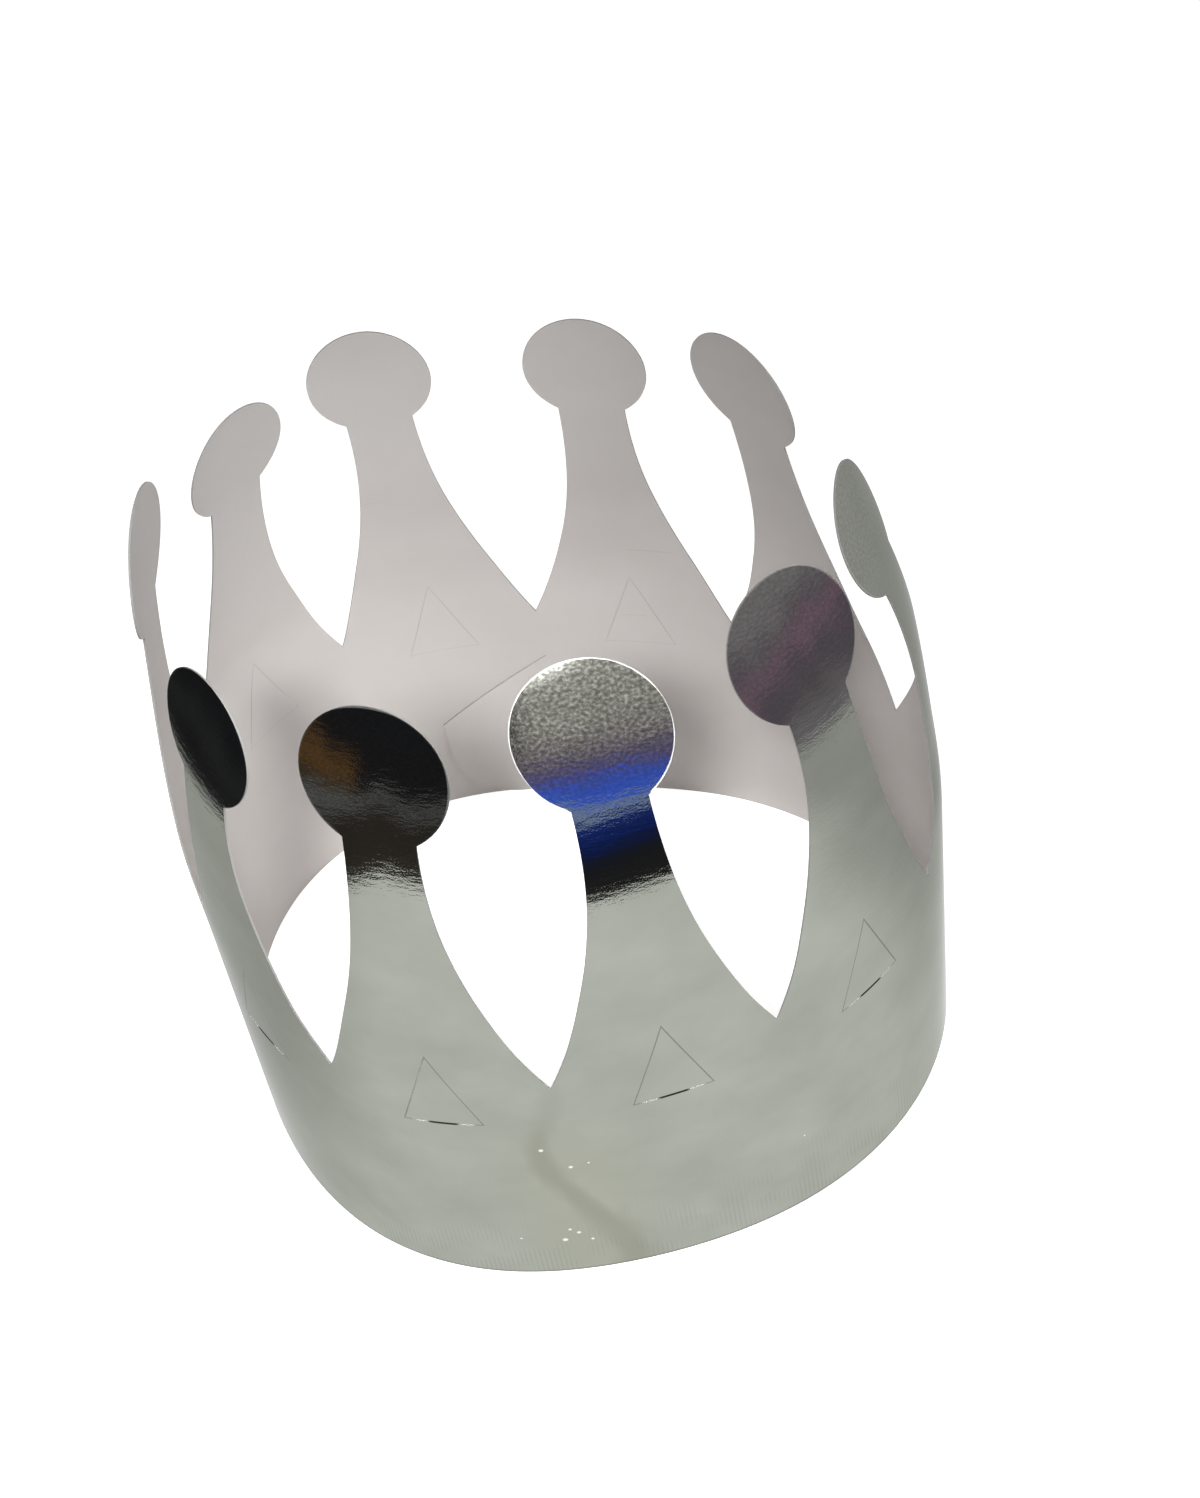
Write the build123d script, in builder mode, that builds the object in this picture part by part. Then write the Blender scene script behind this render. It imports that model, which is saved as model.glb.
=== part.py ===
from build123d import *
import os
from math import atan2, cos, degrees, hypot, radians, sqrt, tan

# Card and ring
card_thickness = 0.45
ring_width = 194.0
ring_depth = 160.0
point_count = 10
front_shift = 13.0

# Lean of the wall: slightly conical, then curled inwards by a soft bend in each stem and one at its neck
band_lean = 2.6
stem_bend_height = 100.0
neck_bend_height = 150.0
bend_length = 16.0

# Turn of each point's two bends, in order round from the front valley
stem_turns = (6.5, 5.5, 4.5, 2.5, 4.0, 4.0, 7.5, 6.0, 2.0, 5.0)
neck_turns = (25.0, 17.5, 4.5, 2.0, 1.0, 1.0, 6.5, 3.5, 11.0, 15.0)

# Points: a flared stem with a round disc on top, heights measured from the rim
valley_height = 81.0
neck_width = 16.2
flank_bend_share = 0.5
disc_height = 174.0
disc_radius = 16.3

# Push-out triangle that is cut into each point and still hangs on at its corners
triangle_width = 19.8
triangle_base_height = 68.4
triangle_tip_height = 95.2
slit_width = 0.35
corner_nick = 1.6

# Tongue of the strip's inner end, lapped behind the wall at the back
tongue_length = 34.0
tongue_root_height = 62.0
tongue_end_height = 36.0
tongue_toe_radius = 19.0
tongue_tip_radius = 4.0
lap_depth_share = 0.5

# One overrun serves every cut, and a point stands in the middle of its pitch
overrun = 5.0
middle_share = 0.5

half_card = card_thickness / 2
half_neck = neck_width / 2
half_bend = bend_length / 2

lean_slope = tan(radians(band_lean))
stem_rise = neck_bend_height - stem_bend_height
disc_rise = disc_height - neck_bend_height
wall_rise = disc_rise + disc_radius + overrun

# Head oval that the outside of the rim follows: four tangent arcs through the ends of both axes
half_width = ring_width / 2
half_depth = ring_depth / 2
corner_distance = hypot(half_width, half_depth)
axis_difference = half_width - half_depth
end_radius = corner_distance * (corner_distance - axis_difference) / ring_width
side_radius = corner_distance * (corner_distance + axis_difference) / ring_depth
side_turn = 2 * degrees(atan2(half_depth, half_width))
end_turn = 180 - side_turn
with BuildLine() as head_oval:
    front = CenterArc((0, side_radius - half_depth), side_radius, 270 - side_turn / 2, side_turn)
    right = CenterArc((half_width - end_radius, 0), end_radius, -end_turn / 2, end_turn)
    back = CenterArc((0, half_depth - side_radius), side_radius, 90 - side_turn / 2, side_turn)
    left = CenterArc((end_radius - half_width, 0), end_radius, 180 - end_turn / 2, end_turn)
arcs = ((front, side_turn), (right, end_turn), (back, side_turn), (left, end_turn))
ring_length = sum(arc.length for arc, turn in arcs)
pitch = ring_length / point_count
front_valley = front.length / 2 + front_shift
seam = point_count / 2


def stretches(start, end):
    """Arcs under a run of the rim, each with its turn and the shares where the run starts and ends."""
    passed = 0
    for arc, turn in arcs + arcs:
        low = max(start, passed)
        high = min(end, passed + arc.length)
        if high > low:
            yield arc, turn, (low - passed) / arc.length, (high - passed) / arc.length
        passed = passed + arc.length


def wall_plane(pitches):
    """Upright plane on the rim, looking outwards, a number of pitches round from the front valley."""
    distance = (front_valley + pitches * pitch) % ring_length
    arc, turn, share, end = next(stretches(distance, ring_length))
    return Plane(origin=arc @ share, x_dir=arc % share, z_dir=(arc @ share) - arc.arc_center)


def section_plane(arc, share):
    """Upright plane across the card at a share of an arc: x outwards, y up."""
    return Plane(origin=arc @ share, x_dir=(arc @ share) - arc.arc_center, z_dir=-(arc % share))


def back_layer(outer_inset, inner_inset, top):
    """Thin layer of the back's straight wall, between two insets from its outside."""
    with BuildPart() as layer:
        with BuildSketch(section_plane(back, 0)):
            with BuildLine():
                Polyline(
                    (overrun * lean_slope - outer_inset, -overrun),
                    (-top * lean_slope - outer_inset, top),
                    (-top * lean_slope - inner_inset, top),
                    (overrun * lean_slope - inner_inset, -overrun),
                    close=True,
                )
            make_face()
        revolve(axis=Axis(back.arc_center, (0, 0, 1)), revolution_arc=side_turn)
    return layer.part


os.makedirs("parts", exist_ok=True)

# One point after the other: its pitch of the wall, bent in its own way and cut to its outline
inner_face = Vector(card_thickness, 0)
wall_foot = Vector(overrun * lean_slope, -overrun)
stem_bend = Vector(-stem_bend_height * lean_slope, stem_bend_height)
points = []
for point in range(point_count):
    stem_lean = band_lean + stem_turns[point % len(stem_turns)]
    stem_slope = tan(radians(stem_lean))
    disc_lean = radians(stem_lean + neck_turns[point % len(neck_turns)])
    disc_middle = neck_bend_height + disc_rise * cos(disc_lean)
    neck_height = disc_middle - sqrt(disc_radius**2 - half_neck**2) * cos(disc_lean)
    flank_bend_height = valley_height + (neck_height - valley_height) * flank_bend_share

    # Section of the wall's outside: three straight runs, eased into each other over the bend length
    neck_bend = stem_bend + Vector(-stem_slope, 1) * stem_rise
    stem_start = stem_bend - Vector(-lean_slope, 1) * half_bend
    stem_end = stem_bend + Vector(-stem_slope, 1) * half_bend
    neck_start = neck_bend - Vector(-stem_slope, 1) * half_bend
    neck_end = neck_bend + Vector(-tan(disc_lean), 1) * half_bend
    wall_end = neck_bend + Vector(-tan(disc_lean), 1) * wall_rise
    with BuildPart() as pitch_wall:
        first = (front_valley + point * pitch) % ring_length
        for arc, turn, start, end in stretches(first, first + pitch):
            with BuildSketch(section_plane(arc, start)):
                with BuildLine():
                    for inset in (Vector(0, 0), inner_face):
                        Line(wall_foot - inset, stem_start - inset)
                        Bezier(stem_start - inset, stem_bend - inset, stem_end - inset)
                        Line(stem_end - inset, neck_start - inset)
                        Bezier(neck_start - inset, neck_bend - inset, neck_end - inset)
                        Line(neck_end - inset, wall_end - inset)
                    Line(wall_foot, wall_foot - inner_face)
                    Line(wall_end, wall_end - inner_face)
                make_face()
            revolve(axis=Axis(arc.arc_center, (0, 0, 1)), revolution_arc=turn * (end - start))

        # Outline: band, flared stem and round disc, pushed through from outside
        stem_plane = wall_plane(point + middle_share)
        with BuildSketch(stem_plane.offset(overrun)):
            with BuildLine():
                for valley, side in ((point, -1), (point + 1, 1)):
                    valley_plane = wall_plane(valley).offset(-valley_height * lean_slope)
                    foot = stem_plane.to_local_coords(valley_plane.origin).X
                    flank = Bezier(
                        (foot, valley_height),
                        (side * half_neck, flank_bend_height),
                        (side * half_neck, neck_height),
                    )
                    Polyline(flank @ 1, (side * half_neck, disc_middle), (0, disc_middle))
                    Polyline(flank @ 0, (side * pitch, valley_height), (side * pitch, 0), (0, 0))
            make_face()
            with Locations((0, disc_middle)):
                Ellipse(disc_radius, disc_radius * cos(disc_lean))
        extrude(amount=-pitch - ring_depth / 2, mode=Mode.INTERSECT)
    points.append(pitch_wall.part)

# Tongue of the inner end: one card thickness inside the wall, with a round toe
with BuildPart() as tongue:
    add(back_layer(half_card, 2 * card_thickness, tongue_root_height + overrun))
    with BuildSketch(wall_plane(seam).offset(overrun)) as tongue_outline:
        with BuildLine():
            Polyline(
                (0, 0),
                (tongue_length, 0),
                (tongue_length, tongue_end_height),
                (0, tongue_root_height),
                close=True,
            )
        make_face()
        tongue_toe = tongue_outline.vertices().sort_by(Axis.X)[-2:].sort_by(Axis.Y)[0]
        fillet(tongue_toe, radius=tongue_toe_radius)
        tongue_tip = tongue_outline.vertices().sort_by_distance((tongue_length, tongue_end_height))[0]
        fillet(tongue_tip, radius=tongue_tip_radius)
    extrude(amount=-pitch, mode=Mode.INTERSECT)

# Cut edge of the outer end: a fine upright step in the outside face, from the rim to the valley
with BuildPart() as lap_edge:
    add(back_layer(-half_card, card_thickness * lap_depth_share, valley_height + overrun))
    with BuildSketch(wall_plane(seam).offset(overrun)):
        Rectangle(slit_width, 2 * (valley_height + overrun))
    extrude(amount=-pitch, mode=Mode.INTERSECT)

with BuildPart() as crown_band:
    add(points)

    # Push-out triangles
    left_corner = Vector(-triangle_width / 2, triangle_base_height)
    right_corner = Vector(triangle_width / 2, triangle_base_height)
    tip = Vector(0, triangle_tip_height)
    for point in range(point_count):
        with BuildSketch(wall_plane(point + middle_share).offset(overrun)):
            for start, end in ((left_corner, right_corner), (right_corner, tip), (tip, left_corner)):
                side = end - start
                with Locations((start + end) / 2):
                    Rectangle(
                        side.length - 2 * corner_nick,
                        slit_width,
                        rotation=degrees(atan2(side.Y, side.X)),
                    )
        extrude(amount=-pitch, mode=Mode.SUBTRACT)

    # Lap at the back: the tongue inside, the cut edge of the outer end outside
    add(tongue.part)
    add(lap_edge.part, mode=Mode.SUBTRACT)

crown_band.part.label = "crown_band"
export_step(crown_band.part, "parts/crown_band.step")
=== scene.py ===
"""Paper crown: one strip of foil-faced card with ten disc-tipped points, bent to an oval and lapped."""

import math

import bmesh
import bpy
import numpy as np
from mathutils import Matrix, Vector


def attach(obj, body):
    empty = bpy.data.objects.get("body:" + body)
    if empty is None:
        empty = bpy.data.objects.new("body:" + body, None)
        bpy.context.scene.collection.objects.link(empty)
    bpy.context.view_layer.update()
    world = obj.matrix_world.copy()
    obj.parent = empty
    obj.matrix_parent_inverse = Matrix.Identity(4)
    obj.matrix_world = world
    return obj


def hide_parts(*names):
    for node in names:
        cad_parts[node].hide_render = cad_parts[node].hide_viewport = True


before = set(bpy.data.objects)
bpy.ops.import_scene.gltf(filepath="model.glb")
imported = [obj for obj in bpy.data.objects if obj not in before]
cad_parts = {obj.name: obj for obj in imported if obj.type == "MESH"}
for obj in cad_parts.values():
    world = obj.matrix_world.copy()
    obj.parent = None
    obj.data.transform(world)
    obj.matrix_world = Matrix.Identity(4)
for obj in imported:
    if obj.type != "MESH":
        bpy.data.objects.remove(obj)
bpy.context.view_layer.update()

# Flat strip, in metres: s runs along it from the front valley, h up from the rim
POINTS = 10
HALF = POINTS // 2
PITCH = 0.0558
LENGTH = POINTS * PITCH
CARD = 0.00045
VALLEY = 0.0810
DISC_HEIGHT = 0.1744
DISC_RADIUS = 0.0160
HALF_NECK = 0.0081

# Push-out triangle from the middle of its point: corners, uncut nicks, and how the cut flap sits
TRIANGLE = (Vector((-0.0099, 0.0684)), Vector((0.0099, 0.0684)), Vector((0.0, 0.0951)))
TRIANGLE_REACH = 0.021
NICK = 0.0012
FLAP_SHRINK = 0.007
FLAP_DROP = 0.0001

# Tongue of the inner end, and how far the outer end stands off over it, in card thicknesses
SEAM = HALF * PITCH
TONGUE_LENGTH = 0.034
TONGUE_ROOT = 0.062
TONGUE_END = 0.036
TONGUE_TOE = 0.019
LAP_STEP = 1.08
LAP_EASE = 0.02

# Mesh rows and columns of each pitch and of the tongue, and how near vertices are to be welded
COLUMNS = 24
BAND_ROWS = 28
STEM_ROWS = 30
DISC_ROWS = 28
TONGUE_COLUMNS = 20
TONGUE_ROWS = 16
WELD = 2e-6
FRONT_WELD = 2e-5
HAIR = 1e-7

# Ring as it stands: an oval a little out of true, with a slightly conical band
OVAL_RATIO = 1.21
OVAL_STEPS = 1440
FRONT_TURN = math.radians(9.0)
OVAL_WAVES = ((3, 0.015, -0.025), (4, -0.015, -0.005))
BAND_LEAN = 0.046
RIGHT_POINT = 2.5 * PITCH
RIGHT_REACH = 0.8 * PITCH
RIGHT_BULGE = 0.022
RIGHT_BULGE_TURN = 0.45
RIGHT_LEAN = -0.035

# A point's stem curls from its foot, and its neck from the stem's middle; above the valley it flattens
STEM_FOOT = 0.0725
STEM_MIDDLE = 0.1311
BLADE_FLATNESS = 0.8
BLADE_EASE = 0.03
BOW_REACH = 0.4 * PITCH

# How each point stands, from the first right of the front round to the first left of it:
# curl of the stem and of the neck (turn per pitch), twist, sideways slant, and size of the disc
STANCE = (
    (0.12, 0.60, 0.05, 0.00, 1.04),
    (0.10, 0.45, 0.05, 0.02, 1.02),
    (0.12, 0.30, 0.10, 0.00, 0.98),
    (0.10, -0.10, 0.00, 0.05, 0.92),
    (0.12, -0.20, 0.00, 0.00, 0.92),
    (0.12, -0.20, 0.00, 0.00, 0.92),
    (0.18, 0.00, 0.00, -0.02, 0.92),
    (0.10, 0.05, 0.10, -0.04, 1.00),
    (0.04, 0.25, 0.00, 0.02, 1.00),
    (0.10, 0.35, 0.05, 0.00, 1.02),
)

# Marks on the foil, in pitches along the strip from the front valley and up from the rim:
# painted highlights of glints where small dents catch the lamp, with their radius, and the streak that runs
# from the valley down and aside to the rim
GLINT_SPOTS = (
    (-0.108, 1.010, 0.013),
    (0.000, 0.857, 0.012),
    (0.080, 0.870, 0.007),
    (-0.105, 0.270, 0.016),
    (-0.073, 0.353, 0.010),
    (-0.037, 0.320, 0.012),
    (0.017, 0.252, 0.010),
    (-0.300, 0.300, 0.007),
    (1.050, 0.520, 0.006),
)
STREAK_TURN_UP = 1.0
STREAK_TURN_ALONG = -0.12
STREAK_END_ALONG = 0.20
RIB_PITCH = 0.022

# Colours of the card, and of the marks on it
FOIL = (0.40, 0.41, 0.37)
FOIL_SHINE = (0.70, 0.71, 0.68)
FOIL_ROUGHNESS = 0.07
FOIL_CLOUDS = ((0.28, (0.375, 0.393, 0.345)), (0.72, (0.455, 0.47, 0.42)))
# Grain on the discs: dark pitting, and painted glints of light where the crinkled foil catches it
FOIL_PITS_AND_GLINTS = ((0.36, (0.13, 0.13, 0.12)), (0.5, (0.40, 0.405, 0.375)), (0.66, (0.80, 0.79, 0.76)))
# Painted shade in the cut round each push-out triangle, on the foil
FOIL_SLIT_SHADE = (0.15, 0.15, 0.14)
CRINKLE_DEPTH = 0.00007
VALLEY_TINT = (0.42, 0.435, 0.34)
STREAK = (0.29, 0.305, 0.24)
RIB = (0.30, 0.31, 0.285)
# Painted shade: a dark line along the foot of the rim
RIM_SHADE_LINE = (0.10, 0.10, 0.095)
# Painted highlight: white of the glints where small dents catch the lamp
GLINT_WHITE = (0.97, 0.97, 0.88)
# Painted highlight of the lit cut edge along each lower slit
SLIT_HIGHLIGHT = (0.80, 0.80, 0.78)
# Painted highlight: a white, rough, non-metal ring round the discs' edges
DISC_RIM_HIGHLIGHT = (0.90, 0.89, 0.87)
DISC_RIM_ROUGHNESS = 0.6
PAPER = (0.70, 0.67, 0.65)
PAPER_SMUDGES = ((0.3, (0.665, 0.635, 0.615)), (0.65, (0.72, 0.69, 0.67)))
# Painted shade in the cut round each push-out triangle, on the paper
PAPER_SLIT_SHADE = (0.44, 0.42, 0.40)
RUB = (0.50, 0.47, 0.45)
# Cut edge of the card, painted grey as it looks in shade
SHADED_CUT_EDGE = (0.40, 0.39, 0.38)
# Cut edge of the card, painted white as it looks where lit
LIT_CUT_EDGE = (0.80, 0.79, 0.77)
# Painted shade: black in the gaping middle of each lower slit
GAP_SHADE = (0.02, 0.02, 0.02)


def smooth(t):
    """Eases a share from 0 to 1, flat at both ends."""
    t = min(max(t, 0.0), 1.0)
    return t * t * (3 - 2 * t)


def oval_table():
    """Arc length, x, y and heading of the rim, counter-clockwise from the front valley."""
    past = np.linspace(0, 2 * math.pi, OVAL_STEPS + 1)
    turn = past + FRONT_TURN
    radius = 1 / np.sqrt(np.sin(turn) ** 2 + (np.cos(turn) * OVAL_RATIO) ** 2)
    wave = 1.0
    for order, cosine, sine in OVAL_WAVES:
        wave = wave + cosine * np.cos(order * past) + sine * np.sin(order * past)
    wave = wave + RIGHT_BULGE * np.exp(-(((past - math.pi / 2) / RIGHT_BULGE_TURN) ** 2))
    x, y = radius * wave * np.sin(turn), -radius * wave * np.cos(turn)
    s = np.concatenate(([0.0], np.cumsum(np.hypot(np.diff(x), np.diff(y)))))
    scale = LENGTH / s[-1]
    heading = np.unwrap(np.arctan2(np.gradient(y, turn), np.gradient(x, turn)))
    heading[0] = (heading[0] + heading[-1] - 2 * math.pi) / 2
    heading[-1] = heading[0] + 2 * math.pi
    return s * scale, x * scale, y * scale, heading


OVAL_S, OVAL_X, OVAL_Y, OVAL_HEADING = oval_table()


def rim(s):
    """Place, tangent and outward normal on the rim."""
    s = s % LENGTH
    place = Vector((np.interp(s, OVAL_S, OVAL_X), np.interp(s, OVAL_S, OVAL_Y), 0.0))
    heading = float(np.interp(s, OVAL_S, OVAL_HEADING))
    tangent = Vector((math.cos(heading), math.sin(heading), 0))
    return place, tangent, Vector((tangent.y, -tangent.x, 0))


def bow(s):
    """Turn of the rim per metre about a place."""
    turn = np.interp((s + BOW_REACH) % LENGTH, OVAL_S, OVAL_HEADING)
    turn -= np.interp((s - BOW_REACH) % LENGTH, OVAL_S, OVAL_HEADING)
    return float(turn % (2 * math.pi)) / (2 * BOW_REACH)


def band_lean(s):
    """Inward lean of the band, which stands a little straighter at the right-hand point."""
    return BAND_LEAN + RIGHT_LEAN * math.exp(-(((s - RIGHT_POINT) / RIGHT_REACH) ** 2))


def arc(lean, curl, length):
    """Inset and rise along a stretch that starts at a lean and turns inwards evenly."""
    if abs(curl) < 1e-6:
        return math.sin(lean) * length, math.cos(lean) * length
    end = lean + curl * length
    return (math.cos(lean) - math.cos(end)) / curl, (math.sin(end) - math.sin(lean)) / curl


def side_profile(h, foot_lean, stem_curl, neck_curl):
    """Inset from the rim and height of a point on a curled stem, by its distance up the card."""
    inset, rise = arc(foot_lean, 0.0, min(h, STEM_FOOT))
    if h > STEM_FOOT:
        more = arc(foot_lean, stem_curl, min(h, STEM_MIDDLE) - STEM_FOOT)
        inset, rise = inset + more[0], rise + more[1]
    if h > STEM_MIDDLE:
        lean = foot_lean + stem_curl * (STEM_MIDDLE - STEM_FOOT)
        more = arc(lean, neck_curl, h - STEM_MIDDLE)
        inset, rise = inset + more[0], rise + more[1]
    return inset, rise


def wrap(s, h, lift):
    """Where a place on the flat strip stands in the finished crown. Lift is outwards from the card."""
    place, tangent, normal = rim(s)
    lean = band_lean(s)
    on_wall = place + normal * (lift - math.sin(lean) * h) + Vector((0, 0, math.cos(lean) * h))
    if h <= VALLEY:
        return on_wall
    point = int(s // PITCH) % POINTS
    middle = (point + 0.5) * PITCH
    u = s - middle
    stem_curl, neck_curl, twist, slant = STANCE[point][:4]
    inset, rise = side_profile(h, band_lean(middle), stem_curl / PITCH, neck_curl / PITCH)
    place, tangent, normal = rim(middle)
    bend = bow(middle) * BLADE_FLATNESS
    above = (h - STEM_FOOT) / PITCH
    across = math.sin(u * bend) / bend + slant * above * above * PITCH
    out = lift - inset - (1 - math.cos(u * bend)) / bend + twist * u * above
    on_blade = place + tangent * across + normal * out + Vector((0, 0, rise))
    return on_wall.lerp(on_blade, smooth((h - VALLEY) / BLADE_EASE))


def disc_radius(point):
    """Radius of one point's disc."""
    return DISC_RADIUS * STANCE[point][4]


def point_row(point, row):
    """Height and half width of one mesh row of a point, from the valley to the top of its disc."""
    radius = disc_radius(point)
    neck_angle = math.asin(HALF_NECK / radius)
    neck_height = DISC_HEIGHT - radius * math.cos(neck_angle)
    if row <= STEM_ROWS:
        t = row / STEM_ROWS
        flare = (PITCH / 2 - HALF_NECK) * (1 - t) ** 2
        return VALLEY + (neck_height - VALLEY) * t, HALF_NECK + flare
    turn = neck_angle + (math.pi - neck_angle) * (row - STEM_ROWS) / DISC_ROWS
    return DISC_HEIGHT - radius * math.cos(turn), radius * math.sin(turn)


def flat_pitch(bm, point):
    """One pitch of the flat strip: band, flared stem and disc."""
    middle = (point + 0.5) * PITCH
    band = bmesh.ops.create_grid(bm, x_segments=COLUMNS, y_segments=BAND_ROWS, size=0.5)["verts"]
    for v in band:
        v.co = Vector((middle + v.co.x * PITCH, (v.co.y + 0.5) * VALLEY, 0))
    rows = STEM_ROWS + DISC_ROWS
    stem = bmesh.ops.create_grid(bm, x_segments=COLUMNS, y_segments=rows, size=0.5)["verts"]
    for v in stem:
        h, half = point_row(point, round((v.co.y + 0.5) * rows))
        v.co = Vector((middle + v.co.x * 2 * half, h, 0))


def flat_tongue(bm):
    """The inner end's tongue, past the seam, with its lower corner well rounded."""
    grid = bmesh.ops.create_grid(bm, x_segments=TONGUE_COLUMNS, y_segments=TONGUE_ROWS, size=0.5)["verts"]
    for v in grid:
        along = (v.co.x + 0.5) * TONGUE_LENGTH
        top = TONGUE_ROOT + (TONGUE_END - TONGUE_ROOT) * along / TONGUE_LENGTH
        toe = max(along - (TONGUE_LENGTH - TONGUE_TOE), 0.0)
        foot = TONGUE_TOE - math.sqrt(max(TONGUE_TOE**2 - toe**2, 0.0))
        v.co = Vector((SEAM + along, foot + (top - foot) * (v.co.y + 0.5), 0))


def sides(corners):
    """The three sides of a triangle, as pairs of corners."""
    return list(zip(corners, corners[1:] + corners[:1]))


def within(corners, face):
    """Whether a face of the flat strip lies inside a triangle."""
    middle = face.calc_center_median().xy
    return all((b - a).cross(middle - a) > 0 for a, b in sides(corners))


def on_slit(edge, a, b):
    """Whether an edge lies on the cut part of a triangle's side, clear of the nicks."""
    along = (b - a).normalized()
    level = Vector((-along.y, along.x))
    p, q = edge.verts[0].co.xy, edge.verts[1].co.xy
    past = ((p + q) / 2 - a).dot(along)
    off = max(abs((p - a).dot(level)), abs((q - a).dot(level)))
    return off < 1e-6 and NICK < past < (b - a).length - NICK


def cut_triangle(bm, point):
    """Die-cuts the push-out triangle of one point: three slits, with the flap a little sunk."""
    middle = Vector(((point + 0.5) * PITCH, 0))
    corners = [middle + c for c in TRIANGLE]
    centre = (corners[0] + corners[1] + corners[2]) / 3
    for a, b in sides(corners):
        near = [f for f in bm.faces if (f.calc_center_median().xy - centre).length < TRIANGLE_REACH]
        geom = near + list({e for f in near for e in f.edges}) + list({v for f in near for v in f.verts})
        across = Vector((b.y - a.y, a.x - b.x, 0))
        bmesh.ops.bisect_plane(bm, geom=geom, dist=HAIR, plane_co=a.to_3d(), plane_no=across)
    slits = []
    for edge in bm.edges:
        place = (edge.verts[0].co.xy + edge.verts[1].co.xy) / 2
        if (place - centre).length <= TRIANGLE_REACH and any(on_slit(edge, a, b) for a, b in sides(corners)):
            slits.append(edge)
    bmesh.ops.split_edges(bm, edges=slits)
    low, high = corners[0].y, corners[2].y
    half = corners[1].x - centre.x
    for face in [f for f in bm.faces if within(corners, f)]:
        for v in face.verts:
            if v.tag or not all(within(corners, f) for f in v.link_faces):
                continue
            v.tag = True
            drop = smooth((high - v.co.y) / (high - low))
            spread = 1 - min(abs(v.co.x - centre.x) / half, 1.0) ** 2
            v.co.xy = v.co.xy + (centre - v.co.xy) * FLAP_SHRINK
            v.co.z = -FLAP_DROP * drop * spread


def mark_flat(half, first):
    """UV maps of a flat half: pitches from the front valley, and disc radii from the disc's middle."""
    strip = half.loops.layers.uv.new("strip")
    disc = half.loops.layers.uv.new("disc")
    turn_back = Vector((POINTS if first else 0, 0))
    for f in half.faces:
        point = min(max(int(f.calc_center_median().x // PITCH), first), first + HALF - 1)
        middle = Vector(((point + 0.5) * PITCH, DISC_HEIGHT))
        for loop in f.loops:
            loop[strip].uv = loop.vert.co.xy / PITCH - turn_back
            loop[disc].uv = (loop.vert.co.xy - middle) / disc_radius(point)


def lap_lift(s, h):
    """How far the outer end stands off where it lies over the tongue."""
    beyond = smooth((s - SEAM - TONGUE_LENGTH) / LAP_EASE)
    above = smooth((h - TONGUE_ROOT) / (VALLEY - TONGUE_ROOT))
    return LAP_STEP * CARD * (1 - beyond) * (1 - above)


def half_strip(first):
    """Five pitches of the strip, laid out flat, cut and wrapped. The first half ends in the tongue."""
    half = bmesh.new()
    for point in range(first, first + HALF):
        flat_pitch(half, point)
    if first == 0:
        flat_tongue(half)
    bmesh.ops.remove_doubles(half, verts=half.verts, dist=WELD)
    for point in range(first, first + HALF):
        cut_triangle(half, point)
    mark_flat(half, first)
    for v in half.verts:
        lift = lap_lift(v.co.x, v.co.y) if first else 0.0
        s = v.co.x if v.co.x < LENGTH - HAIR else v.co.x - HAIR
        v.co = wrap(s, v.co.y, v.co.z + lift)
    mesh = bpy.data.meshes.new("half_strip")
    half.to_mesh(mesh)
    half.free()
    return mesh


def build_crown():
    """The whole strip, joined at the front valley."""
    crown = bmesh.new()
    for first in (0, HALF):
        half = half_strip(first)
        crown.from_mesh(half)
        bpy.data.meshes.remove(half)
    front = [v for v in crown.verts if v.is_boundary and v.co.y < 0]
    bmesh.ops.remove_doubles(crown, verts=front, dist=FRONT_WELD)
    for f in crown.faces:
        f.smooth = True
    for e in crown.edges:
        e.smooth = not e.is_boundary
    mesh = bpy.data.meshes.new("crown_sheet")
    crown.to_mesh(mesh)
    crown.free()
    obj = bpy.data.objects.new("crown_sheet", mesh)
    bpy.context.scene.collection.objects.link(obj)
    return obj


def principled(name, color, roughness, metallic=0.0):
    """A material with its node tree and its shader."""
    mat = bpy.data.materials.new(name)
    mat.use_nodes = True
    shader = mat.node_tree.nodes["Principled BSDF"]
    shader.inputs["Base Color"].default_value = (*color, 1)
    shader.inputs["Roughness"].default_value = roughness
    shader.inputs["Metallic"].default_value = metallic
    return mat, mat.node_tree, shader


def feed(tree, value, socket):
    """Links a socket, or sets a plain value or colour on it."""
    if isinstance(value, bpy.types.NodeSocket):
        tree.links.new(value, socket)
    elif isinstance(value, tuple):
        socket.default_value = (*value, 1)
    else:
        socket.default_value = value


def sums(tree, operation, a, b=0.0):
    """One step of arithmetic on sockets or numbers."""
    node = tree.nodes.new("ShaderNodeMath")
    node.operation = operation
    feed(tree, a, node.inputs[0])
    feed(tree, b, node.inputs[1])
    return node.outputs["Value"]


def times(tree, a, b):
    """Product of two values."""
    return sums(tree, "MULTIPLY", a, b)


def apart(tree, a, b):
    """Distance between two values."""
    return sums(tree, "ABSOLUTE", sums(tree, "SUBTRACT", a, b))


def span(tree, value, start, end, low=0.0, high=1.0):
    """Eases from one value to another over a stretch."""
    node = tree.nodes.new("ShaderNodeMapRange")
    node.interpolation_type = "SMOOTHSTEP"
    tree.links.new(value, node.inputs["Value"])
    for name, number in (("From Min", start), ("From Max", end), ("To Min", low), ("To Max", high)):
        node.inputs[name].default_value = number
    return node.outputs["Result"]


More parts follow.
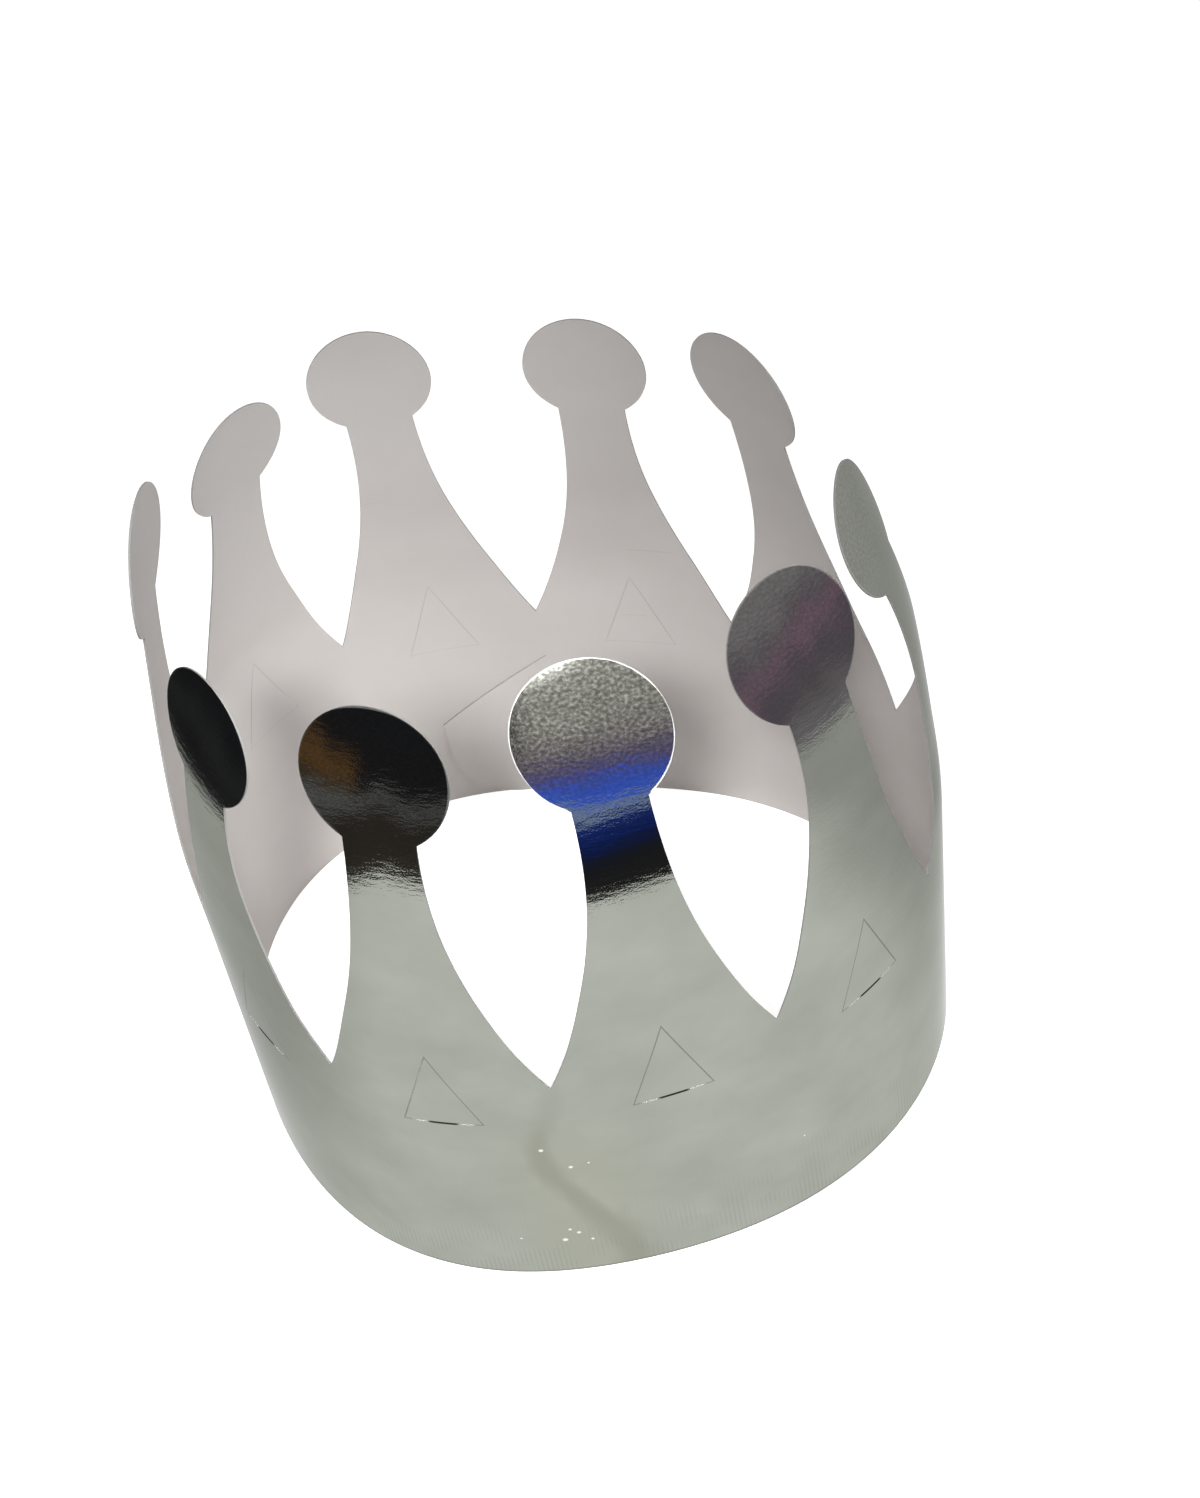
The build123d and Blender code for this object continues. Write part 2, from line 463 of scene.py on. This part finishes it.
def blend(tree, mask, a, b):
    """Colour a, turned to colour b by a mask."""
    node = tree.nodes.new("ShaderNodeMix")
    node.data_type = "RGBA"
    tree.links.new(mask, node.inputs["Factor"])
    feed(tree, a, node.inputs[6])
    feed(tree, b, node.inputs[7])
    return node.outputs[2]


def ramp(tree, value, stops):
    """Colour by value, from its stops."""
    node = tree.nodes.new("ShaderNodeValToRGB")
    marks = node.color_ramp.elements
    while len(marks) < len(stops):
        marks.new(0.5)
    for mark, (place, color) in zip(marks, stops):
        mark.position = place
        mark.color = (*color, 1)
    tree.links.new(value, node.inputs["Fac"])
    return node.outputs["Color"]


def split(tree, vector):
    """The three axes of a vector."""
    axes = tree.nodes.new("ShaderNodeSeparateXYZ")
    tree.links.new(vector, axes.inputs["Vector"])
    return axes.outputs["X"], axes.outputs["Y"], axes.outputs["Z"]


def uv(tree, name):
    """One of the crown's two UV maps."""
    node = tree.nodes.new("ShaderNodeUVMap")
    node.uv_map = name
    return node.outputs["UV"]


def strip_noise():
    """Group: noise over the flat strip, stretched as asked, as a value about one half."""
    group = bpy.data.node_groups.new("strip_noise", "ShaderNodeTree")
    for name, value in (("Along", 10.0), ("Up", 10.0), ("Detail", 3.0)):
        socket = group.interface.new_socket(name, in_out="INPUT", socket_type="NodeSocketFloat")
        socket.default_value = value
    group.interface.new_socket("Value", in_out="OUTPUT", socket_type="NodeSocketFloat")
    nodes, links = group.nodes, group.links
    given, out = nodes.new("NodeGroupInput"), nodes.new("NodeGroupOutput")
    stretch = nodes.new("ShaderNodeCombineXYZ")
    scaled = nodes.new("ShaderNodeVectorMath")
    scaled.operation = "MULTIPLY"
    noise = nodes.new("ShaderNodeTexNoise")
    noise.inputs["Scale"].default_value = 1.0
    links.new(given.outputs["Along"], stretch.inputs["X"])
    links.new(given.outputs["Up"], stretch.inputs["Y"])
    links.new(uv(group, "strip"), scaled.inputs[0])
    links.new(stretch.outputs["Vector"], scaled.inputs[1])
    links.new(scaled.outputs["Vector"], noise.inputs["Vector"])
    links.new(given.outputs["Detail"], noise.inputs["Detail"])
    links.new(noise.outputs["Fac"], out.inputs["Value"])
    return group


STRIP_NOISE = strip_noise()


def noise_over(tree, along, up, detail):
    """Noise over the flat strip, stretched as asked."""
    node = tree.nodes.new("ShaderNodeGroup")
    node.node_tree = STRIP_NOISE
    node.inputs["Along"].default_value = along
    node.inputs["Up"].default_value = up
    node.inputs["Detail"].default_value = detail
    return node.outputs["Value"]


def strip_axes(tree):
    """Pitches along the strip from the front valley, and pitches up from the rim."""
    along, up, _ = split(tree, uv(tree, "strip"))
    return along, up


def beside_point(tree, along):
    """Pitches aside from the middle of the nearest point."""
    return apart(tree, sums(tree, "FLOORED_MODULO", along, 1.0), 0.5)


def first_point(tree, elsewhere):
    """Mask of the first point, with a lower value on the others."""
    along = strip_axes(tree)[0]
    return span(tree, apart(tree, along, 0.5), 0.45, 0.55, 1.0, elsewhere)


def slit_shade_line(tree, along, up):
    """Fine line along the push-out triangle of each point, as a mask for the painted shade in its cut."""
    half, foot, tip = TRIANGLE[1].x / PITCH, TRIANGLE[1].y / PITCH, TRIANGLE[2].y / PITCH
    slope = math.hypot(half, tip - foot)
    reach = times(tree, beside_point(tree, along), (tip - foot) / slope)
    climb = times(tree, sums(tree, "SUBTRACT", up, tip), half / slope)
    off_side = sums(tree, "ADD", reach, climb)
    off_foot = sums(tree, "SUBTRACT", foot, up)
    off = sums(tree, "ABSOLUTE", sums(tree, "MAXIMUM", off_side, off_foot))
    return span(tree, off, 0.0016, 0.0042, 1.0, 0.0)


def lower_slit(tree, along, up):
    """Masks of each triangle's lower slit: all of it, and its middle, which gapes and is painted black as
    shade.
    """
    line = span(tree, apart(tree, up, TRIANGLE[1].y / PITCH), 0.004, 0.007, 1.0, 0.0)
    beside = beside_point(tree, along)
    slit = times(tree, line, span(tree, beside, 0.13, 0.15, 1.0, 0.0))
    return slit, times(tree, line, span(tree, beside, 0.055, 0.080, 1.0, 0.0))


def valley_streak(tree, along, up):
    """Mask of the dull streak under the front valley, which widens towards the rim."""
    lane = span(tree, up, 0.05, STREAK_TURN_UP, STREAK_END_ALONG, STREAK_TURN_ALONG)
    start = span(tree, up, STREAK_TURN_UP, VALLEY / PITCH, 0.0, -STREAK_TURN_ALONG)
    aside = apart(tree, along, sums(tree, "ADD", lane, start))
    width = times(tree, noise_over(tree, 9.0, 3.0, 1.0), span(tree, up, 0.1, 1.0, 0.30, 0.16))
    near = span(tree, sums(tree, "DIVIDE", aside, width), 0.05, 1.1, 1.0, 0.0)
    return times(tree, near, span(tree, up, 0.95, 1.3, 1.0, 0.35))


def glint_spots(tree):
    """Mask of the painted glints of light along the streak."""
    strip = uv(tree, "strip")
    mask = 0.0
    for along, up, radius in GLINT_SPOTS:
        reach = tree.nodes.new("ShaderNodeVectorMath")
        reach.operation = "DISTANCE"
        tree.links.new(strip, reach.inputs[0])
        reach.inputs[1].default_value = (along, up, 0)
        spot = span(tree, reach.outputs["Value"], 0.5 * radius, radius, 1.0, 0.0)
        mask = sums(tree, "MAXIMUM", mask, spot)
    return mask


def ribs(tree, along, up):
    """Mask of the fine upright ribs near the rim, which come and go."""
    wave = sums(tree, "SINE", times(tree, along, 2 * math.pi / RIB_PITCH))
    near_rim = times(tree, span(tree, wave, -0.6, 1.0), span(tree, up, 0.05, 0.62, 0.30, 0.0))
    return times(tree, near_rim, span(tree, noise_over(tree, 5.0, 5.0, 1.0), 0.40, 0.62))


def disc_rim_highlight(tree):
    """Mask of the painted highlight round each disc's edge: uneven, open at the neck, and faint on all but
    the first.
    """
    disc = uv(tree, "disc")
    reach = tree.nodes.new("ShaderNodeVectorMath")
    reach.operation = "LENGTH"
    tree.links.new(disc, reach.inputs[0])
    x, y, _ = split(tree, disc)
    width = times(tree, span(tree, noise_over(tree, 3.0, 3.0, 1.0), 0.4, 0.75), 0.020)
    outside = sums(tree, "ADD", sums(tree, "ADD", reach.outputs["Value"], width), 0.004)
    ring = span(tree, outside, 0.99, 1.005)
    beside_neck = sums(tree, "MAXIMUM", span(tree, apart(tree, x, 0.0), 0.50, 0.54), span(tree, y, -0.2, 0.0))
    above_neck = times(tree, span(tree, y, -0.92, -0.88), first_point(tree, 0.2))
    return times(tree, times(tree, ring, beside_neck), above_neck)


def foil_color(tree, along, up):
    """Faint clouds, the tint, streak and painted glints under the front valley, ribs, and a painted line of
    shade along the foot of the rim.
    """
    color = ramp(tree, noise_over(tree, 2.2, 2.6, 4.0), FOIL_CLOUDS)
    near_valley = span(tree, apart(tree, along, 0.0), 0.0, 0.55, 1.0, 0.0)
    near_valley = times(tree, near_valley, span(tree, up, 0.8, 1.5, 1.0, 0.0))
    color = blend(tree, times(tree, near_valley, 0.5), color, VALLEY_TINT)
    color = blend(tree, times(tree, valley_streak(tree, along, up), 0.55), color, STREAK)
    color = blend(tree, ribs(tree, along, up), color, RIB)
    # Painted shade along the foot of the rim
    color = blend(tree, span(tree, up, 0.004, 0.014, 0.6, 0.0), color, RIM_SHADE_LINE)
    # Painted highlights: the glints along the streak
    return blend(tree, glint_spots(tree), color, GLINT_WHITE)


def grained_with_glints(tree, up, color):
    """Pitted grain on the discs, with painted glints of light in it, strongest on the upper half of the
    first.
    """
    pits_and_glints = ramp(tree, noise_over(tree, 62.0, 78.0, 3.0), FOIL_PITS_AND_GLINTS)
    weight = times(tree, span(tree, up, 2.90, 3.15, 0.12, 0.65), first_point(tree, 0.25))
    return blend(tree, times(tree, weight, span(tree, up, 2.62, 2.80)), color, pits_and_glints)


def silver_foil():
    """Mirror foil with fine crinkles, painted shade along the die's lines and in each lower slit's gaping
    middle, a painted highlight along the lower slits and a white painted highlight ring round the first disc.
    """
    mat, tree, shader = principled("silver_foil", FOIL, FOIL_ROUGHNESS, 1.0)
    shader.inputs["Specular Tint"].default_value = (*FOIL_SHINE, 1)
    along, up = strip_axes(tree)
    color = grained_with_glints(tree, up, foil_color(tree, along, up))
    # Painted shade along the triangle's cut lines
    color = blend(tree, times(tree, slit_shade_line(tree, along, up), 0.6), color, FOIL_SLIT_SHADE)
    slit, gap_shade = lower_slit(tree, along, up)
    # Painted highlight of the lit cut edge along the lower slit
    color = blend(tree, times(tree, slit, 0.25), color, SLIT_HIGHLIGHT)
    # Painted shade: black in the gaping middle of each lower slit
    color = blend(tree, gap_shade, color, GAP_SHADE)
    # Painted highlight: a white, rough, non-metal ring round the discs' edges
    edge = disc_rim_highlight(tree)
    feed(tree, blend(tree, edge, color, DISC_RIM_HIGHLIGHT), shader.inputs["Base Color"])
    feed(tree, sums(tree, "SUBTRACT", 1.0, edge), shader.inputs["Metallic"])
    feed(tree, span(tree, edge, 0.0, 1.0, FOIL_ROUGHNESS, DISC_RIM_ROUGHNESS), shader.inputs["Roughness"])
    crinkle = noise_over(tree, 14.0, 42.0, 2.0)
    grain = times(tree, noise_over(tree, 130.0, 130.0, 1.0), 0.45)
    bump = tree.nodes.new("ShaderNodeBump")
    bump.inputs["Distance"].default_value = CRINKLE_DEPTH
    bump.inputs["Strength"].default_value = 0.5
    feed(tree, sums(tree, "ADD", crinkle, grain), bump.inputs["Height"])
    feed(tree, bump.outputs["Normal"], shader.inputs["Normal"])
    return mat


def inside_paper():
    """Plain grey-white back of the card, with faint smudges, rub marks and painted shade along the die's
    lines.
    """
    mat, tree, shader = principled("inside_paper", PAPER, 0.85)
    color = ramp(tree, noise_over(tree, 1.2, 1.4, 3.0), PAPER_SMUDGES)
    rubs = span(tree, noise_over(tree, 1.5, 34.0, 1.0), 0.74, 0.80)
    color = blend(tree, times(tree, rubs, 0.25), color, RUB)
    # Painted shade along the triangle's cut lines
    cut = times(tree, slit_shade_line(tree, *strip_axes(tree)), 0.3)
    feed(tree, blend(tree, cut, color, PAPER_SLIT_SHADE), shader.inputs["Base Color"])
    return mat


def card_core():
    """Cut edge of the card, painted grey as shade, white as lit round the first disc and along the lower
    slits, and black as shade where a lower slit gapes.
    """
    mat, tree, shader = principled("card_core", SHADED_CUT_EDGE, 0.8)
    along, up = strip_axes(tree)
    # Painted light on the cut edge: white as lit round the first disc and along the lower slits, grey as
    # shaded elsewhere
    bare = times(tree, first_point(tree, 0.0), span(tree, up, 2.6, 2.9))
    slit, gap_shade = lower_slit(tree, along, up)
    color = blend(tree, bare, SHADED_CUT_EDGE, LIT_CUT_EDGE)
    color = blend(tree, slit, color, LIT_CUT_EDGE)
    feed(tree, blend(tree, gap_shade, color, GAP_SHADE), shader.inputs["Base Color"])
    return mat


# The crown itself: foil outside, paper inside, and the card's thickness
materials = (silver_foil(), inside_paper(), card_core())
crown = build_crown()
for mat in materials:
    crown.data.materials.append(mat)
thick = crown.modifiers.new("card", "SOLIDIFY")
thick.thickness = CARD
thick.offset = -1
thick.material_offset = 1
thick.material_offset_rim = 2
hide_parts("crown_band")
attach(crown, "root")

# The set stands square to the photograph's view, a little turned from the oval
SET_TURN = Matrix.Rotation(FRONT_TURN, 3, "Z")
FLOOR_SIZE = 3.0
PANEL_TALL = 0.62
ROOM_LIGHT = 0.34
ROOM_WHITE = 1.94
TABLE = (0.93, 0.93, 0.93)
TABLE_WHITE = 0.72
LIT_DOTS = (1.3, 1.27, 1.22)
BLACK = (0.018, 0.018, 0.022)

# Colours that the cards of the room show, by height
SCREEN = (
    (0.00, (0.03, 0.03, 0.03)),
    (0.085, (0.02, 0.02, 0.025)),
    (0.105, (0.01, 0.02, 0.10)),
    (0.155, (0.015, 0.04, 0.30)),
    (0.165, (0.34, 0.42, 0.62)),
    (0.185, (0.26, 0.36, 0.70)),
    (0.195, (0.07, 0.18, 1.15)),
    (0.225, (0.08, 0.16, 0.85)),
    (0.24, (0.17, 0.14, 0.34)),
    (0.28, (0.22, 0.19, 0.23)),
    (0.36, (0.15, 0.145, 0.14)),
    (0.60, (0.42, 0.41, 0.39)),
)
LOW_GLEAM = (
    (0.00, (0.06, 0.05, 0.045)),
    (0.09, (0.04, 0.034, 0.03)),
    (0.11, (0.17, 0.17, 0.18)),
)
MURKY = LOW_GLEAM + (
    (0.13, (0.02, 0.018, 0.02)),
    (0.20, BLACK),
)
BROWN = LOW_GLEAM + (
    (0.13, (0.03, 0.025, 0.02)),
    (0.15, (0.15, 0.08, 0.032)),
    (0.165, (0.13, 0.07, 0.03)),
    (0.18, BLACK),
)
DARK = (
    (0.00, (0.05, 0.05, 0.055)),
    (0.025, BLACK),
    (0.05, (0.035, 0.035, 0.04)),
    (0.07, BLACK),
)
VIOLET = (
    (0.00, (0.30, 0.28, 0.31)),
    (0.05, (0.22, 0.20, 0.23)),
    (0.10, (0.14, 0.12, 0.15)),
    (0.15, (0.16, 0.13, 0.17)),
    (0.19, (0.30, 0.18, 0.26)),
    (0.23, (0.18, 0.15, 0.19)),
    (0.30, (0.30, 0.28, 0.31)),
)


def panel(name, corner, along, aside):
    """A plain card of the set, from one corner along two of its edges."""
    bm = bmesh.new()
    for v in bmesh.ops.create_grid(bm, x_segments=1, y_segments=1, size=0.5)["verts"]:
        v.co = SET_TURN @ (Vector(corner) + Vector(along) * (v.co.x + 0.5) + Vector(aside) * (v.co.y + 0.5))
    mesh = bpy.data.meshes.new(name)
    bm.to_mesh(mesh)
    bm.free()
    obj = bpy.data.objects.new(name, mesh)
    bpy.context.scene.collection.objects.link(obj)
    mat = bpy.data.materials.new(name)
    mat.use_nodes = True
    mat.node_tree.nodes.clear()
    mesh.materials.append(mat)
    return obj, mat.node_tree


def plain_noise(tree, place, scale):
    """Noise over a card of the set."""
    noise = tree.nodes.new("ShaderNodeTexNoise")
    noise.inputs["Scale"].default_value = scale
    noise.inputs["Detail"].default_value = 4.0
    tree.links.new(place, noise.inputs["Vector"])
    return noise.outputs["Fac"]


def room_card(name, start, end, stops, smear=0.072, grain=0.0):
    """A card out of the frame that only the foil mirrors: colours by height, smeared a little."""
    run = Vector(end) - Vector(start)
    obj, tree = panel(name, (*start, 0), (*run, 0), (0, 0, PANEL_TALL))
    place = tree.nodes.new("ShaderNodeTexCoord").outputs["Object"]
    height = split(tree, place)[2]
    shift = times(tree, sums(tree, "SUBTRACT", plain_noise(tree, place, 16.0), 0.5), smear)
    share = sums(tree, "DIVIDE", sums(tree, "ADD", height, shift), PANEL_TALL)
    color = ramp(tree, share, [(z / PANEL_TALL, c) for z, c in stops])
    if grain:
        above = span(tree, height, 0.25, 0.36, 0.0, grain)
        dots = span(tree, plain_noise(tree, place, 150.0), 0.38, 0.66)
        color = blend(tree, times(tree, above, dots), color, LIT_DOTS)
    glow = tree.nodes.new("ShaderNodeEmission")
    out = tree.nodes.new("ShaderNodeOutputMaterial")
    feed(tree, color, glow.inputs["Color"])
    feed(tree, glow.outputs["Emission"], out.inputs["Surface"])
    obj.visible_camera = obj.visible_diffuse = obj.visible_shadow = False


def white_floor():
    """White table: white to the camera with the crown's soft shadow, greyer at both sides in the foil."""
    corner = (-FLOOR_SIZE / 2, -FLOOR_SIZE / 2, 0)
    _, tree = panel("floor", corner, (FLOOR_SIZE, 0, 0), (0, FLOOR_SIZE, 0))
    rays = tree.nodes.new("ShaderNodeLightPath").outputs
    table = tree.nodes.new("ShaderNodeBsdfDiffuse")
    table.inputs["Color"].default_value = (*TABLE, 1)
    glow = tree.nodes.new("ShaderNodeEmission")
    feed(tree, times(tree, rays["Is Camera Ray"], TABLE_WHITE), glow.inputs["Strength"])
    seen = tree.nodes.new("ShaderNodeAddShader")
    feed(tree, table.outputs["BSDF"], seen.inputs[0])
    feed(tree, glow.outputs["Emission"], seen.inputs[1])

    # What the foil mirrors
    x, y, _ = split(tree, tree.nodes.new("ShaderNodeTexCoord").outputs["Object"])
    right = span(tree, sums(tree, "ADD", x, y), 0.08, 0.22, 1.0, 0.56)
    left = span(tree, sums(tree, "SUBTRACT", x, times(tree, y, 0.6)), -0.10, 0.01, 0.68, 1.0)
    mirrored = tree.nodes.new("ShaderNodeEmission")
    feed(tree, times(tree, right, left), mirrored.inputs["Strength"])
    mix = tree.nodes.new("ShaderNodeMixShader")
    feed(tree, sums(tree, "ADD", rays["Is Glossy Ray"], rays["Is Transmission Ray"]), mix.inputs["Fac"])
    feed(tree, seen.outputs["Shader"], mix.inputs[1])
    feed(tree, mirrored.outputs["Emission"], mix.inputs[2])
    out = tree.nodes.new("ShaderNodeOutputMaterial")
    feed(tree, mix.outputs["Shader"], out.inputs["Surface"])


def room():
    """Even light all round, which the camera and the foil see as white."""
    world = bpy.data.worlds.new("room")
    bpy.context.scene.world = world
    world.use_nodes = True
    tree = world.node_tree
    sky = tree.nodes["Background"]
    sky.inputs["Color"].default_value = (ROOM_LIGHT, ROOM_LIGHT, ROOM_LIGHT, 1)
    rays = tree.nodes.new("ShaderNodeLightPath").outputs
    seen = sums(tree, "ADD", rays["Is Camera Ray"], rays["Is Glossy Ray"])
    seen = sums(tree, "ADD", seen, rays["Is Transmission Ray"])
    feed(tree, sums(tree, "ADD", times(tree, seen, ROOM_WHITE), 1.0), sky.inputs["Strength"])


def lamp(name, kind, energy, travel):
    """A lamp of the set, with the way its light travels."""
    obj = bpy.data.objects.new(name, bpy.data.lights.new(name, kind))
    obj.data.energy = energy
    obj.rotation_euler = (SET_TURN @ Vector(travel)).to_track_quat("-Z", "Y").to_euler()
    bpy.context.scene.collection.objects.link(obj)
    return obj


def spot(name, energy, place, travel, cone, softness):
    """A spot lamp that fades from the middle of its cone."""
    obj = lamp(name, "SPOT", energy, travel)
    obj.location = SET_TURN @ Vector(place)
    obj.data.spot_size = math.radians(cone)
    obj.data.spot_blend = 1.0
    obj.data.shadow_soft_size = softness
    return obj


def photo_camera(place, azimuth, elevation, roll, lens):
    """Camera at the photograph's view, its angles in degrees, with the azimuth from the set's front."""
    azimuth, elevation, roll = math.radians(azimuth) + FRONT_TURN, math.radians(elevation), math.radians(roll)
    level = math.cos(elevation)
    back = Vector((math.sin(azimuth) * level, -math.cos(azimuth) * level, math.sin(elevation)))
    right = (-back).cross(Vector((0, 0, 1))).normalized()
    up = right.cross(-back)
    side = right * math.cos(roll) + up * math.sin(roll)
    top = up * math.cos(roll) - right * math.sin(roll)
    camera = bpy.data.objects.new("camera", bpy.data.cameras.new("camera"))
    turn = Matrix((side, top, back)).transposed().to_4x4()
    camera.matrix_world = Matrix.Translation(SET_TURN @ Vector(place)) @ turn
    camera.data.lens = lens
    camera.data.sensor_width = 36
    camera.data.clip_start = 0.01
    bpy.context.scene.collection.objects.link(camera)
    bpy.context.scene.camera = camera


white_floor()
room_card("screen_card", (-0.01, -0.36), (0.22, -0.36), SCREEN, 0.06, 0.75)
room_card("dark_card", (-0.26, -0.36), (-0.01, -0.36), MURKY)
room_card("corner_card", (-0.26, -0.36), (-0.26, -0.31), MURKY)
room_card("brown_card", (-0.26, -0.31), (-0.26, -0.15), BROWN)
room_card("black_card", (-0.26, -0.15), (-0.26, 0.40), DARK)
room_card("violet_card", (0.50, -0.36), (0.50, 0.05), VIOLET, 0.18)
room_card("violet_corner_card", (0.22, -0.36), (0.50, -0.36), VIOLET, 0.18)
room()

# One spot from the front, a soft one from the right for the inside of the left wall, and a wide fill
spot("key", 24.0, (0.0, -0.52, 0.74), (-0.03, 0.57, -0.73), 22, 0.045)
left_wall = spot("left_wall", 9.0, (0.40, -0.20, 0.50), (-0.495, 0.20, -0.49), 25, 0.12)
left_wall.visible_glossy = False
fill = lamp("fill", "SUN", 0.36, (-0.62, 0.52, -0.58))
fill.data.angle = math.radians(90)

photo_camera((0.0521, -0.3324, 0.4995), 5.95, 49.57, -10.88, 51.84)
bpy.context.scene.view_settings.view_transform = "Standard"
